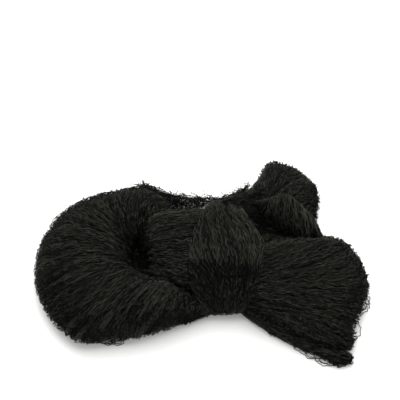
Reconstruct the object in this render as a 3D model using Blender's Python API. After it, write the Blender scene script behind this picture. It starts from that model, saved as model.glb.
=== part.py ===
"""Bird netting gathered into a hank, doubled back into a loop and lashed round the middle with its own tail.

The hank lies on a surface at z = 0, with +X along its length from the loop to the spread fan, +Y towards
the side where the tail's end stands out, and +Z up. The net is one piece of cloth, so the hank is one solid.
It is the union of nine bundles, each worked out from a short table:

  sliced bundles  (loop, fan, knob, fringe)  vertical slices swept about a gathered inner line
  tube bundles    (band, roll, tail, core)   round sections carried along an axis
  sleeve bundle   (lashing)                  a girth carried from its left edge to its right edge
"""

import math
from collections import namedtuple

import bmesh
import bpy
import numpy as np

# Driving dimensions, in metres.
HANK_LENGTH = 0.450
HANK_HEIGHT = 0.101
FURROW_DEPTH = 0.0022
# How far the bundles reach under the floor before they are cut flat.
FOOT_SINK = 0.005

# The cell that the bundles are joined on, how often creases are rounded off, and the share of triangles kept.
SKIN_GRAIN = 0.0035
CREASE_PASSES = 3
KEPT_TRIANGLES = 0.15

# The tables are drawn at this size, in millimetres, and scaled to the driving dimensions.
DRAWN_LENGTH = 450.0
DRAWN_HEIGHT = 101.0
PLAN_SCALE = HANK_LENGTH / DRAWN_LENGTH
RISE_SCALE = HANK_HEIGHT / DRAWN_HEIGHT

TWINE_COLOUR = (0.012, 0.013, 0.009, 1.0)
TWINE_ROUGHNESS = 0.55

# A slice runs from where the strands are gathered (inner) to where they fold under (outer).
Slice = namedtuple("Slice", "inner_x inner_y outer_x outer_y crown")
# A profile point is a share of the way from inner to outer, and a share of the crown's height.
ProfilePoint = namedtuple("ProfilePoint", "share rise")
# A tube's section: its middle, half its width across the axis, and its lowest and highest point.
Section = namedtuple("Section", "x y half_width base top")
# A point of the lashing's girth, with where the sleeve's two edges lie there.
GirthPoint = namedtuple("GirthPoint", "y z left_x right_x")
# How far the lashing's girth draws in, at a share of the way from its left edge to its right edge.
DrawPoint = namedtuple("DrawPoint", "share pull")
# Ridges across a bundle's strands: how many coarse and fine waves it has, and where they start.
Furrows = namedtuple("Furrows", "coarse fine phase")

LOOP_SLICES = (
    Slice(-59, 39, -16, 75, 45),
    Slice(-73, 27, -53, 89, 62),
    Slice(-82, 16, -85, 95, 80),
    Slice(-88, 8, -122, 91, 88),
    Slice(-92, 1, -159, 77, 90),
    Slice(-94, -5, -194, 52, 90),
    Slice(-96, -10, -219, 13, 90),
    Slice(-94, -16, -224, -31, 90),
    Slice(-92, -20, -216, -69, 88),
    Slice(-85, -25, -195, -103, 88),
    Slice(-73, -29, -163, -127, 87),
    Slice(-57, -38, -124, -126, 87),
    Slice(-39, -46, -85, -117, 86),
    Slice(-22, -55, -43, -103, 78),
    Slice(-3, -59, -3, -87, 48),
    Slice(31, -56, 31, -70, 34),
)
LOOP_PROFILE = (
    ProfilePoint(0.00, 0.30),
    ProfilePoint(0.01, 0.60),
    ProfilePoint(0.06, 0.80),
    ProfilePoint(0.17, 0.93),
    ProfilePoint(0.32, 1.00),
    ProfilePoint(0.50, 0.99),
    ProfilePoint(0.66, 0.91),
    ProfilePoint(0.80, 0.77),
    ProfilePoint(0.91, 0.58),
    ProfilePoint(0.98, 0.38),
    ProfilePoint(1.00, 0.24),
    ProfilePoint(0.985, 0.12),
    ProfilePoint(0.94, 0.03),
)

FAN_SLICES = (
    Slice(46, 18, 148, 47, 50),
    Slice(49, 4, 172, 29, 76),
    Slice(51, -10, 198, 18, 86),
    Slice(53, -25, 215, -7, 88),
    Slice(54, -38, 225, -38, 87),
    Slice(54, -51, 222, -71, 84),
    Slice(54, -62, 211, -98, 80),
    Slice(53, -67, 207, -127, 68),
    Slice(52, -72, 180, -131, 52),
    Slice(50, -76, 120, -108, 40),
)
KNOB_SLICES = (
    Slice(62, 52, 56, 90, 58),
    Slice(73, 56, 78, 111, 64),
    Slice(81, 58, 93, 133, 68),
    Slice(88, 58, 117, 130, 68),
    Slice(92, 55, 139, 116, 66),
    Slice(94, 50, 157, 98, 60),
    Slice(96, 45, 158, 74, 52),
    Slice(94, 38, 152, 47, 44),
)
SPREAD_PROFILE = (
    ProfilePoint(0.00, 0.45),
    ProfilePoint(0.00, 0.90),
    ProfilePoint(0.14, 0.98),
    ProfilePoint(0.32, 1.00),
    ProfilePoint(0.50, 0.95),
    ProfilePoint(0.67, 0.84),
    ProfilePoint(0.81, 0.69),
    ProfilePoint(0.92, 0.50),
    ProfilePoint(0.98, 0.33),
    ProfilePoint(1.00, 0.21),
    ProfilePoint(0.985, 0.11),
    ProfilePoint(0.95, 0.03),
)

FRINGE_SLICES = (
    Slice(-74, 58, -84, 104, 22),
    Slice(-60, 50, -62, 101, 26),
    Slice(-43, 46, -42, 94, 26),
    Slice(-19, 46, -19, 87, 24),
    Slice(3, 46, 3, 88, 24),
    Slice(24, 46, 24, 88, 26),
    Slice(46, 46, 44, 90, 26),
    Slice(62, 50, 58, 98, 24),
)
FRINGE_PROFILE = (
    ProfilePoint(0.00, 0.80),
    ProfilePoint(0.22, 1.00),
    ProfilePoint(0.55, 0.86),
    ProfilePoint(0.82, 0.62),
    ProfilePoint(0.97, 0.40),
    ProfilePoint(1.00, 0.24),
    ProfilePoint(0.97, 0.08),
)

BAND_SECTIONS = (
    Section(-92, 6, 7, -5, 26),
    Section(-86, 9, 18, -5, 56),
    Section(-77, 11, 29, -5, 74),
    Section(-63, 11, 42, -5, 85),
    Section(-43, 9, 52, -5, 90),
    Section(-16, 3, 60, -5, 92),
    Section(20, 0, 58, -5, 86),
    Section(50, -4, 50, -5, 74),
)
ROLL_SECTIONS = (
    Section(52, 58, 7, 62, 80),
    Section(64, 57, 13, 52, 86),
    Section(81, 52, 20, 42, 90),
    Section(107, 50, 25, 36, 90),
    Section(130, 39, 22, 32, 80),
    Section(146, 28, 13, 30, 62),
    Section(156, 21, 5, 32, 46),
)
# The mass inside, which leaves no way through the hank between the bundles.
CORE_SECTIONS = (
    Section(-135, -28, 22, -15, 30),
    Section(-105, -14, 40, -15, 42),
    Section(-60, 2, 58, -15, 44),
    Section(0, 2, 62, -15, 42),
    Section(60, 6, 56, -15, 38),
    Section(105, 14, 40, -15, 32),
    Section(135, 14, 20, -15, 26),
)

TAIL_SECTIONS = (
    Section(47, -62, 10, -5, 24),
    Section(81, -88, 11, -5, 25),
    Section(112, -108, 11, -5, 24),
    Section(143, -123, 11, -5, 22),
    Section(160, -132, 10, -5, 20),
    Section(177, -142, 12, -4, 20),
    Section(190, -144, 12, -4, 19),
    Section(200, -142, 7, -3, 13),
)

LASHING_GIRTH = (
    GirthPoint(-8, -5, 2, 54),
    GirthPoint(-60, -5, -4, 57),
    GirthPoint(-84, 10, -7, 59),
    GirthPoint(-78, 44, -12, 67),
    GirthPoint(-54, 82, -17, 79),
    GirthPoint(-30, 99, -18, 82),
    GirthPoint(4, 101, -14, 79),
    GirthPoint(38, 94, -5, 67),
    GirthPoint(60, 74, 4, 56),
    GirthPoint(71, 40, 8, 52),
    GirthPoint(62, 4, 8, 52),
    GirthPoint(40, -5, 5, 53),
)
# From the left edge to the middle. The right half mirrors it.
LASHING_DRAW = (
    DrawPoint(0.00, 30.0),
    DrawPoint(0.00, 9.0),
    DrawPoint(0.05, 3.0),
    DrawPoint(0.14, 0.4),
    DrawPoint(0.30, -0.6),
    DrawPoint(0.50, 0.0),
)

LOOP_STEPS, FAN_STEPS, KNOB_STEPS, FRINGE_STEPS = 84, 44, 26, 18
BAND_STEPS, ROLL_STEPS, TAIL_STEPS, GIRTH_STEPS = 20, 18, 16, 40
BAND_SIDES, ROLL_SIDES, TAIL_SIDES = 20, 16, 10

# A tube's section lies between an ellipse, 2, and a rectangle, which is far more.
SECTION_SQUARENESS = 2.4
# A sliced bundle's furrows push its rim out past RIM_SHARE, by RIM_PUSH of what they lift its top.
RIM_SHARE = 0.85
RIM_PUSH = 0.8
# Its foot's inner corner stands this share of its depth in from its outer corner's far side.
FOOT_INSET = 0.06
# The lashing's furrows are shallower than the other bundles', in millimetres.
LASHING_FURROW = 1.1


def along(rows, steps, closed=False):
    """Rows of a table joined by a Catmull-Rom curve and read at equal steps, as an array of steps x columns."""
    rows = np.array(rows, float)
    count = len(rows)
    at = np.linspace(0, count, steps, endpoint=False) if closed else np.linspace(0, count - 1, steps)
    first = np.floor(at).astype(int) if closed else np.minimum(np.floor(at).astype(int), count - 2)
    part = (at - first)[:, None]
    before, start, end, after = (
        rows[(first + shift) % count] if closed else rows[np.clip(first + shift, 0, count - 1)]
        for shift in (-1, 0, 1, 2)
    )
    return 0.5 * (
        2 * start
        + (end - before) * part
        + (2 * before - 5 * start + 4 * end - after) * part**2
        + (3 * start - before - 3 * end + after) * part**3
    )


def ridges(waves, steps):
    """Uneven ridges between -1 and 1 across the strands: the sum of a coarse and a fine wave."""
    turn = np.linspace(0, 2 * math.pi, steps)
    return 0.6 * np.sin(waves.coarse * turn + waves.phase) + 0.4 * np.sin(waves.fine * turn + 2.3 * waves.phase)


def to_metres(points):
    """Drawn millimetres to metres, in plan and in height."""
    return points * np.array([PLAN_SCALE, PLAN_SCALE, RISE_SCALE])


def sliced_bundle(slices, profile, steps, waves):
    """Rings of points, one for each slice: inner + share x (outer - inner) in plan, rise x crown in height.
    The furrows lift the top and push out the rim, and the ring closes under the floor."""
    rows = along(slices, steps)
    inner, outer, crown = rows[:, 0:2], rows[:, 2:4], rows[:, 4]
    share, rise = np.array(profile).T
    ridge = ridges(waves, steps)
    plan = inner[:, None] + (outer - inner)[:, None] * share[None, :, None]
    height = crown[:, None] * rise[None, :]
    points = to_metres(np.concatenate([plan, height[..., None]], axis=2))
    lift = FURROW_DEPTH * ridge[:, None] * np.clip(4 * share * (1.15 - share), 0, 1)[None, :]
    points[..., 2] += lift * np.clip(4 * rise, 0, 1)[None, :]
    outward = (outer - inner) / np.linalg.norm(outer - inner, axis=1, keepdims=True)
    points[..., :2] += outward[:, None] * (RIM_PUSH * lift * (share > RIM_SHARE))[..., None]
    foot = points[:, [-1, 0]].copy()
    foot[:, 0, :2] += (points[:, 0, :2] - points[:, -1, :2]) * FOOT_INSET
    foot[..., 2] = -FOOT_SINK
    return np.concatenate([points, foot], axis=1)


def tube_bundle(sections, steps, sides, waves):
    """Rings across an axis in plan. A ring is a squarish round: its width and height follow
    |cos|^(2/n) and |sin|^(2/n), and the furrows swell it a little as it goes round."""
    rows = along(sections, steps)
    middle, half_width, base, top = rows[:, 0:2], rows[:, 2], rows[:, 3], rows[:, 4]
    run = np.gradient(middle, axis=0)
    run /= np.linalg.norm(run, axis=1, keepdims=True)
    across = np.stack([-run[:, 1], run[:, 0]], axis=1)
    angle = np.linspace(0, 2 * math.pi, sides, endpoint=False)
    side = np.sign(np.cos(angle)) * np.abs(np.cos(angle)) ** (2 / SECTION_SQUARENESS)
    level = 0.5 + 0.5 * np.sign(np.sin(angle)) * np.abs(np.sin(angle)) ** (2 / SECTION_SQUARENESS)
    plan = middle[:, None] + across[:, None] * (half_width[:, None] * side[None, :])[..., None]
    height = base[:, None] + (top - base)[:, None] * level[None, :]
    points = to_metres(np.concatenate([plan, height[..., None]], axis=2))
    swell = FURROW_DEPTH * ridges(waves, sides)[None, :] * (level > 0.45)[None, :]
    points[..., 2] += swell * np.clip((top - base)[:, None] / DRAWN_HEIGHT, 0, 1)
    return points


def sleeve_bundle(girth, draw, steps, waves):
    """Rings round the waist, from the left edge to the right edge: each ring is the girth, drawn in
    towards its middle by the amount that draw gives, so that both edges roll under."""
    rows = along(girth, steps, closed=True)
    mirrored = [DrawPoint(1 - share, pull) for share, pull in reversed(draw[:-1])]
    middle_y, middle_z = rows[:, 0].mean(), rows[:, 1].mean()
    outward = rows[:, 0:2] - (middle_y, middle_z)
    outward /= np.linalg.norm(outward, axis=1, keepdims=True)
    ridge = LASHING_FURROW * ridges(waves, steps)
    rings = []
    for share, pull in (*draw, *mirrored):
        place = rows[:, 0:2] - outward * (pull + ridge * abs(0.5 - share))[:, None]
        across = rows[:, 2] + (rows[:, 3] - rows[:, 2]) * share
        rings.append(np.column_stack([across, place]))
    return to_metres(np.array(rings))


def bundles():
    """Every bundle's rings by name, in metres, moved together so that the hank is centred over the origin."""
    made = {
        "loop": sliced_bundle(LOOP_SLICES, LOOP_PROFILE, LOOP_STEPS, Furrows(19, 27, 0.4)),
        "fan": sliced_bundle(FAN_SLICES, SPREAD_PROFILE, FAN_STEPS, Furrows(9, 14, 1.1)),
        "knob": sliced_bundle(KNOB_SLICES, SPREAD_PROFILE, KNOB_STEPS, Furrows(5, 8, 2.0)),
        "fringe": sliced_bundle(FRINGE_SLICES, FRINGE_PROFILE, FRINGE_STEPS, Furrows(4, 6, 0.9)),
        "band": tube_bundle(BAND_SECTIONS, BAND_STEPS, BAND_SIDES, Furrows(7, 9, 0.7)),
        "roll": tube_bundle(ROLL_SECTIONS, ROLL_STEPS, ROLL_SIDES, Furrows(4, 6, 1.6)),
        "core": tube_bundle(CORE_SECTIONS, BAND_STEPS, BAND_SIDES, Furrows(2, 3, 0.2)),
        "tail": tube_bundle(TAIL_SECTIONS, TAIL_STEPS, TAIL_SIDES, Furrows(3, 4, 0.3)),
        "lashing": sleeve_bundle(LASHING_GIRTH, LASHING_DRAW, GIRTH_STEPS, Furrows(11, 17, 0.5)),
    }
    shown = np.concatenate([rings[rings[..., 2] > 0] for rings in made.values()])
    middle = (shown.min(axis=0) + shown.max(axis=0)) / 2
    return {name: rings - (middle[0], middle[1], 0) for name, rings in made.items()}


def shells_object(name, all_rings):
    """One mesh object with a closed shell for each array of rings: quads between neighbouring rings, and each end
    closed to its middle."""
    mesh = bmesh.new()
    for rings in all_rings:
        count, sides = rings.shape[:2]
        grid = [[mesh.verts.new(point) for point in ring] for ring in rings]
        for here, following in zip(grid, grid[1:]):
            for j in range(sides):
                k = (j + 1) % sides
                mesh.faces.new((here[j], here[k], following[k], following[j]))
        for ring, points in ((grid[0], rings[0]), (grid[count - 1], rings[count - 1])):
            middle = mesh.verts.new(points.mean(axis=0))
            for j in range(sides):
                mesh.faces.new((ring[j], ring[(j + 1) % sides], middle))
    bmesh.ops.recalc_face_normals(mesh, faces=mesh.faces)
    return linked_object(name, mesh)


def floor_block(width):
    """The space under the floor, which flattens the hank where it rests."""
    mesh = bmesh.new()
    bmesh.ops.create_cube(mesh, size=width)
    bmesh.ops.translate(mesh, verts=mesh.verts, vec=(0, 0, -width / 2))
    made = linked_object("under_floor", mesh)
    made.hide_render = True
    made.display_type = "WIRE"
    return made


def linked_object(name, mesh):
    data = bpy.data.meshes.new(name)
    mesh.to_mesh(data)
    mesh.free()
    data.shade_smooth()
    made = bpy.data.objects.new(name, data)
    bpy.context.scene.collection.objects.link(made)
    return made


def unite(target, grain, kept):
    """Joins the shells of one mesh into one skin on a grid of cells, then keeps a share of its triangles."""
    skin = target.modifiers.new("unite_bundles", "REMESH")
    skin.mode = "VOXEL"
    skin.voxel_size = grain
    skin.adaptivity = 0.0
    skin.use_smooth_shade = True
    eased = target.modifiers.new("ease_creases", "SMOOTH")
    eased.factor = 0.5
    eased.iterations = CREASE_PASSES
    thinned = target.modifiers.new("fewer_triangles", "DECIMATE")
    thinned.decimate_type = "COLLAPSE"
    thinned.ratio = kept
    thinned.use_collapse_triangulate = True


def cut(target, name, other):
    modifier = target.modifiers.new(name, "BOOLEAN")
    modifier.object = other
    modifier.operation = "DIFFERENCE"
    modifier.solver = "EXACT"


def twine_material():
    """Black twisted nylon twine."""
    material = bpy.data.materials.new("net_twine")
    material.use_nodes = True
    shader = material.node_tree.nodes["Principled BSDF"]
    shader.inputs["Base Color"].default_value = TWINE_COLOUR
    shader.inputs["Roughness"].default_value = TWINE_ROUGHNESS
    shader.inputs["Metallic"].default_value = 0.0
    return material


def main():
    for old in list(bpy.data.objects):
        bpy.data.objects.remove(old, do_unlink=True)
    hank = shells_object("net_hank", bundles().values())
    unite(hank, SKIN_GRAIN, KEPT_TRIANGLES)
    cut(hank, "rest_flat", floor_block(2 * HANK_LENGTH))
    hank.data.materials.append(twine_material())


main()
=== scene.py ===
# Black bird netting gathered into a hank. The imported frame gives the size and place. The net is made here: a
# dense ridged mass of gathered layers, and over it thousands of lengths of knotted twine, each a closed
# three-sided tube that follows its bundle and dives under its neighbours at both ends.

import math

import bpy
import numpy as np
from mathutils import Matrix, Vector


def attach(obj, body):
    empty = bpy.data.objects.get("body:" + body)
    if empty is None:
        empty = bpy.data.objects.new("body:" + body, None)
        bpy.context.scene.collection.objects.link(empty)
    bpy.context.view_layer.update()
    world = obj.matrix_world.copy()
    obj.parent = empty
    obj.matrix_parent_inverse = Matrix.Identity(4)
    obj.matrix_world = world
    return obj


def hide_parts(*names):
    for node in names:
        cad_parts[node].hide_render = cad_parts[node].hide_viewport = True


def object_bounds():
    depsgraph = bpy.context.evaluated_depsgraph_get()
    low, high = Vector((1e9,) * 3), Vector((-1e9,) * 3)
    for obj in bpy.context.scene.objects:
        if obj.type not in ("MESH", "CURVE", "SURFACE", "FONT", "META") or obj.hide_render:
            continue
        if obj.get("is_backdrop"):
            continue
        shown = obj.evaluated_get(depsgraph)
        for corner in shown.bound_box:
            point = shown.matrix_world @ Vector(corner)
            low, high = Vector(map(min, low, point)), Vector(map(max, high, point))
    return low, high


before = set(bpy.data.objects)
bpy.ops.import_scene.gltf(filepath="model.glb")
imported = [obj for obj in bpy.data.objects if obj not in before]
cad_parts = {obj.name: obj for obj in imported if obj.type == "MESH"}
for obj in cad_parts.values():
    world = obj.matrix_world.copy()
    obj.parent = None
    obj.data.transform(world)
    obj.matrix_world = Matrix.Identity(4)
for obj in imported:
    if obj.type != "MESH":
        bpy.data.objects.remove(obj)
cadLow, cadHigh = (np.array(corner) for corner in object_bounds())
scene = bpy.context.scene
print("frame loaded:", len(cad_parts), "solid,", np.round(cadHigh - cadLow, 4).tolist())


def newObject(name, data):
    made = bpy.data.objects.new(name, data)
    scene.collection.objects.link(made)
    return made


def addAimed(name, data, place, target):
    # a camera or a lamp looks along its own -Z
    made = newObject(name, data)
    made.location = place
    made.rotation_euler = Vector(np.subtract(target, place)).to_track_quat("-Z", "Y").to_euler()
    return made


# the camera, above the front of the hank
view = {
    "elevation": 70.0,
    "lens": 180.0,
    "frameWidth": 0.54,  # what the picture takes in at the hank, in metres
    "aimRight": -0.0022,  # from the middle of the hank to the middle of the picture
    "aimUp": 0.0873,
}


def addCamera(spec):
    slope = math.radians(spec["elevation"])
    back = np.array([0.0, -math.cos(slope), math.sin(slope)])
    upward = np.array([0.0, math.sin(slope), math.cos(slope)])
    data = bpy.data.cameras.new("camera")
    data.lens = spec["lens"]
    distance = spec["frameWidth"] * spec["lens"] / data.sensor_width
    aim = np.array([spec["aimRight"], 0.0, 0.0]) + upward * spec["aimUp"]
    scene.camera = addAimed("camera", data, back * distance, aim)


addCamera(view)


# the same bundles as the frame's, drawn in millimetres
loopForm = {
    "kind": "sliced",  # inner x, inner y, outer x, outer y, crown
    "slices": (
        (-61, 36, -32, 71, 50), (-72, 28, -58, 88, 72), (-80, 21, -85, 95, 86), (-86, 12, -122, 91, 88),
        (-90, 3, -161, 79, 90), (-92, -5, -196, 54, 90), (-93, -13, -219, 13, 90),
        (-92, -20, -224, -31, 90), (-90, -25, -214, -67, 88), (-83, -30, -192, -100, 88),
        (-72, -35, -161, -121, 87), (-57, -42, -124, -118, 87), (-39, -48, -85, -113, 86),
        (-23, -57, -43, -100, 78), (-3, -62, -3, -87, 48), (31, -56, 31, -70, 34),
    ),
    "profile": (  # share of the way out, share of the crown
        (0.0, 0.3), (0.02, 0.55), (0.08, 0.76), (0.19, 0.92), (0.33, 1.0), (0.5, 0.99),
        (0.66, 0.91), (0.8, 0.77), (0.91, 0.58), (0.98, 0.38), (1.0, 0.24), (0.985, 0.12),
        (0.94, 0.03),
    ),
    "furrows": (19, 27, 0.9),  # coarse, fine, depth in mm
    "veer": (
        (0.0, 0.0), (0.06, -0.06), (0.14, -0.15), (0.22, -0.23), (0.29, -0.04), (0.35, 0.0),
        (0.5, 0.0), (0.62, -0.06), (0.75, -0.04), (1.0, -0.02),
    ),
    "rimRoom": 3.5,  # mm that the rim stays inside the frame's, for the slack loops that stand off it
    "tufts": 1.8,  # mm
    "tuftsAlong": ((0.0, 0.1), (0.4, 0.2), (0.65, 1.0), (1.0, 1.0)),
    # painted shade and light along the loop's strands: dark towards the slit at the inner end, lighter out at
    # the rim
    "paintedShadeAlong": (
        (0.0, -0.55), (0.06, -0.35), (0.12, -0.08), (0.2, 0.02), (0.5, 0.03), (0.65, 0.02), (0.8, 0.1),
        (1.0, 0.2),
    ),
    # painted light where above nought and painted shade where below, zone by zone across the loop
    "paintedShadeAcross": (
        (0.0, 0.02), (0.1, -0.02), (0.18, -0.18), (0.26, -0.16), (0.34, -0.02), (0.45, 0.04),
        (0.52, 0.0), (0.58, -0.07), (0.68, -0.11), (0.74, -0.05), (0.79, 0.06), (0.85, 0.06),
        (0.9, -0.12), (1.0, -0.15),
    ),
    "contrast": ((0.0, 1.05), (0.6, 1.05), (0.7, 1.6), (0.95, 1.7), (1.0, 1.4)),
}
spreadProfile = (
    (0.0, 0.45), (0.0, 0.9), (0.14, 0.98), (0.32, 1.0), (0.5, 0.95), (0.67, 0.84),
    (0.81, 0.69), (0.92, 0.5), (0.98, 0.33), (1.0, 0.21), (0.985, 0.11), (0.95, 0.03),
)
fanForm = {
    "kind": "sliced",
    "slices": (
        (46, 28, 146, 28, 22), (49, 10, 174, 31, 40), (51, -12, 198, 18, 79), (53, -25, 215, -7, 88),
        (54, -38, 225, -38, 87), (54, -51, 216, -71, 84), (54, -62, 206, -96, 80),
        (53, -67, 201, -124, 68), (52, -72, 180, -130, 52), (54, -73, 120, -108, 40),
        (56, -74, 92, -105, 10),
    ),
    "veer": (
        (0.0, -0.5), (0.18, -0.75), (0.4, -0.7), (0.54, -0.42), (0.63, -0.24), (0.77, -0.08),
        (0.85, 0.0), (1.0, 0.0),
    ),
    "profile": spreadProfile,
    "furrows": (9, 14, 0.9),
    "rimRoom": 2.0,
    "tufts": 0.8,
    "tuftsAlong": ((0.0, 0.1), (0.5, 0.2), (0.75, 1.0), (1.0, 1.0)),
    "neck": (
        (0.0, 3.0), (0.1, 2.0), (0.15, 1.2), (0.2, 0.92), (0.23, 0.94), (0.36, 1.0), (0.5, 0.92),
        (0.63, 0.72), (0.77, 0.6), (1.0, 0.6),
    ),
    "neckReach": ((0.0, 0.6), (0.1, 0.6), (0.2, 0.4), (1.0, 0.4)),  # the share of the way out that it takes
    # painted shade along the fan's strands, deepest where they leave the lashing
    "paintedShadeAlong": (
        (0.0, -0.4), (0.12, -0.2), (0.2, 0.0), (0.5, 0.02), (0.65, 0.0), (0.8, -0.02), (1.0, 0.0),
    ),
    # painted shade across the fan: its edge under the roll and its far edge darker
    "paintedShadeAcross": (
        (0.0, -0.16), (0.05, -0.08), (0.1, -0.03), (0.14, -0.06), (0.25, -0.02), (0.77, -0.01),
        (0.87, -0.1), (0.94, -0.25), (1.0, -0.3),
    ),
    "contrast": ((0.0, 0.95), (0.7, 0.9), (0.8, 1.2), (1.0, 1.4)),
}
knobForm = {
    "kind": "sliced",
    "slices": (
        (62, 52, 57, 90, 58), (73, 56, 77, 113, 64), (81, 58, 93, 137, 68), (88, 58, 119, 133, 68),
        (92, 55, 142, 118, 66), (94, 50, 158, 99, 60), (96, 45, 158, 74, 52), (94, 38, 151, 47, 44),
    ),
    "profile": spreadProfile,
    "furrows": (5, 8, 0.8),
    "veer": ((0.0, 0.0), (0.15, 0.1), (0.3, 0.28), (0.6, 0.18), (1.0, 0.0)),
    "rimRoom": 1.0,
    "contrast": ((0.0, 1.15),),
    # painted shade over the knob, along and across its strands
    "paintedShadeAlong": ((0.0, -0.1), (0.2, -0.06), (0.5, -0.06), (0.65, -0.1), (0.8, -0.13), (1.0, -0.13)),
    "paintedShadeAcross": ((0.0, -0.1), (0.35, -0.08), (0.5, 0.02), (0.8, 0.02), (1.0, 0.0)),
}
fringeForm = {
    "kind": "sliced",
    "slices": (
        (-88, 70, -90, 103, 46), (-74, 66, -77, 105, 42), (-62, 62, -64, 101, 36),
        (-50, 60, -53, 97, 30), (-36, 60, -38, 93, 26), (-22, 60, -22, 91, 24), (-8, 58, -10, 89, 24),
        (6, 76, 5, 90, 26), (20, 62, 18, 88, 28), (34, 62, 34, 90, 32), (48, 66, 47, 95, 36),
        (62, 74, 61, 104, 40),
    ),
    "profile": (
        (0.0, 0.8), (0.22, 1.0), (0.55, 0.95), (0.82, 0.75), (0.97, 0.5), (1.0, 0.3),
        (0.97, 0.1),
    ),
    "furrows": (4, 6, 0.6),
}
bandForm = {
    "kind": "tube",  # x, y, half width, base, top
    "sections": (
        (-87, 5, 8, -5, 24), (-81, 7, 21, -5, 50), (-74, 9, 32, -5, 70), (-62, 9, 40, -5, 84),
        (-42, 6, 48, -5, 90), (-16, 0, 55, -5, 92), (20, -3, 54, -5, 86), (50, -6, 47, -5, 74),
    ),
    "furrows": (7, 9, 0.8),
    "contrast": ((0.0, 1.15),),
    "twist": ((0.0, 0.0), (0.15, 0.0), (0.75, -0.08), (1.0, -0.1)),
    # painted shade on the band: deep where it leaves the slit, and along one side
    "paintedShadeAlong": ((0.0, -0.55), (0.14, -0.46), (0.26, -0.38), (0.34, -0.14), (0.4, 0.0), (1.0, 0.0)),
    "paintedShadeAcross": ((0.0, -0.15), (0.12, -0.14), (0.2, -0.05), (0.26, 0.01), (1.0, 0.01)),
}
neckForm = {  # the bundle that leaves the lashing for the end of the hank
    "kind": "tube",
    "sections": (
        (30, 52, 12, 20, 84), (48, 58, 13, 16, 82), (64, 64, 15, 12, 76), (82, 72, 17, 8, 70),
        (98, 80, 14, 6, 60),
    ),
    "furrows": (4, 6, 0.8),
    # painted shade along the neck
    "paintedShadeAlong": ((0.0, -0.06), (0.5, -0.12), (1.0, -0.1)),
}
rollForm = {  # the strands that fold over and hang down in front of the hank's end
    "kind": "sliced",
    "slices": (
        (76, 60, 66, 54, 78), (87, 63, 74, 47, 81), (98, 68, 83, 39, 84), (108, 71, 95, 31, 85),
        (117, 70, 112, 23, 84), (125, 65, 130, 13, 80), (132, 60, 146, 8, 74), (139, 55, 158, 8, 67),
        (145, 50, 166, 12, 57), (148, 44, 166, 16, 32),
    ),
    "profile": (
        (0.0, 0.6), (0.01, 0.82), (0.16, 0.96), (0.36, 1.0), (0.56, 0.97), (0.76, 0.87),
        (0.91, 0.72), (0.99, 0.56), (1.0, 0.44), (0.96, 0.34), (0.85, 0.26),
    ),
    "furrows": (4, 6, 0.8),
    # painted light along the middle of the roll and towards its right end, faint painted shade at its start
    "paintedShadeAlong": ((0.0, -0.04), (0.3, 0.02), (0.5, 0.06), (0.65, 0.08), (0.8, 0.06), (1.0, 0.0)),
    "paintedShadeAcross": ((0.0, 0.0), (0.2, 0.0), (0.35, -0.02), (0.6, 0.02), (0.8, 0.08), (1.0, 0.12)),
    "contrast": ((0.0, 1.3),),
}
tailForm = {
    "kind": "tube",
    "sections": (
        (47, -60, 8, -5, 24), (81, -85, 9, -5, 25), (112, -104, 9, -5, 24), (143, -119, 9, -5, 22),
        (160, -127, 7, -5, 20), (177, -135, 9, -4, 20), (189, -137, 9, -4, 19), (196, -138, 7, -3, 14),
        (200, -139, 3, -2, 8),
    ),
    "furrows": (3, 4, 0.8),
    "contrast": ((0.0, 1.7),),
}
lashingForm = {
    "kind": "sleeve",  # y, z, left x, right x
    "girth": (
        (-8, -5, 2, 54), (-59, -5, -4, 57), (-78, 10, -7, 56), (-75, 44, -12, 67), (-54, 82, -17, 79),
        (-30, 99, -18, 82), (4, 101, -14, 77), (36, 93, -5, 61), (57, 73, 5, 54), (71, 40, 11, 56),
        (62, 4, 9, 54), (40, -5, 5, 53),
    ),
    "gather": ((0.0, 0.0), (0.1, 0.5), (0.17, 0.75), (0.26, 0.58), (0.4, 0.12), (0.5, 0.0), (1.0, 0.0)),
    "gatherPlace": 0.76,
    "twist": ((0.0, 0.0), (0.42, 0.0), (0.5, -0.04), (0.62, -0.2), (0.75, -0.34), (1.0, -0.34)),
    "draw": (  # how far the girth draws in, from the left edge to the right edge
        (0.0, 9.0), (0.05, 3.0), (0.14, 0.4), (0.3, -0.6), (0.5, 0.0), (0.7, -0.6),
        (0.86, 0.4), (0.95, 3.0), (1.0, 9.0),
    ),
    "furrows": (4, 7, 0.5),
    "middle": (0.0, 48.0),  # y, z
    "contrast": ((0.0, 1.2),),
    # painted light and shade on the lashing: darker at its drawn-in edges; round the girth, painted shade on
    # the front that faces away from the light, painted light on the top with a sharp edge between them, and
    # darker again round the back
    "paintedShadeAcross": ((0.0, -0.08), (0.1, 0.0), (0.92, 0.0), (1.0, -0.08)),
    "paintedShadeAlong": (
        (0.1, 0.02), (0.18, 0.03), (0.3, -0.2), (0.35, -0.3), (0.391, -0.33), (0.401, 0.14),
        (0.46, 0.12), (0.5, 0.05), (0.56, -0.04), (0.68, -0.02), (0.78, -0.1), (1.0, -0.2),
    ),
}
pitForm = {  # the bottom of the slit where the loop's strands meet
    "kind": "tube",
    "sections": (
        (-72, 38, 4, 10, 40), (-81, 20, 8, 10, 36), (-88, 2, 10, 10, 36), (-91, -15, 10, 10, 36),
        (-86, -29, 9, 10, 42), (-66, -38, 8, 10, 62), (-44, -45, 8, 10, 68), (-24, -52, 7, 10, 40),
        (-8, -56, 6, 10, 24),
    ),
    "furrows": (2, 3, 0.0),
    # painted shade at the bottom of the slit
    "paintedShadeAlong": ((0.0, -0.45), (0.5, -0.45), (0.64, -0.15), (0.75, -0.15), (0.9, -0.5), (1.0, -0.5)),
}
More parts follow.
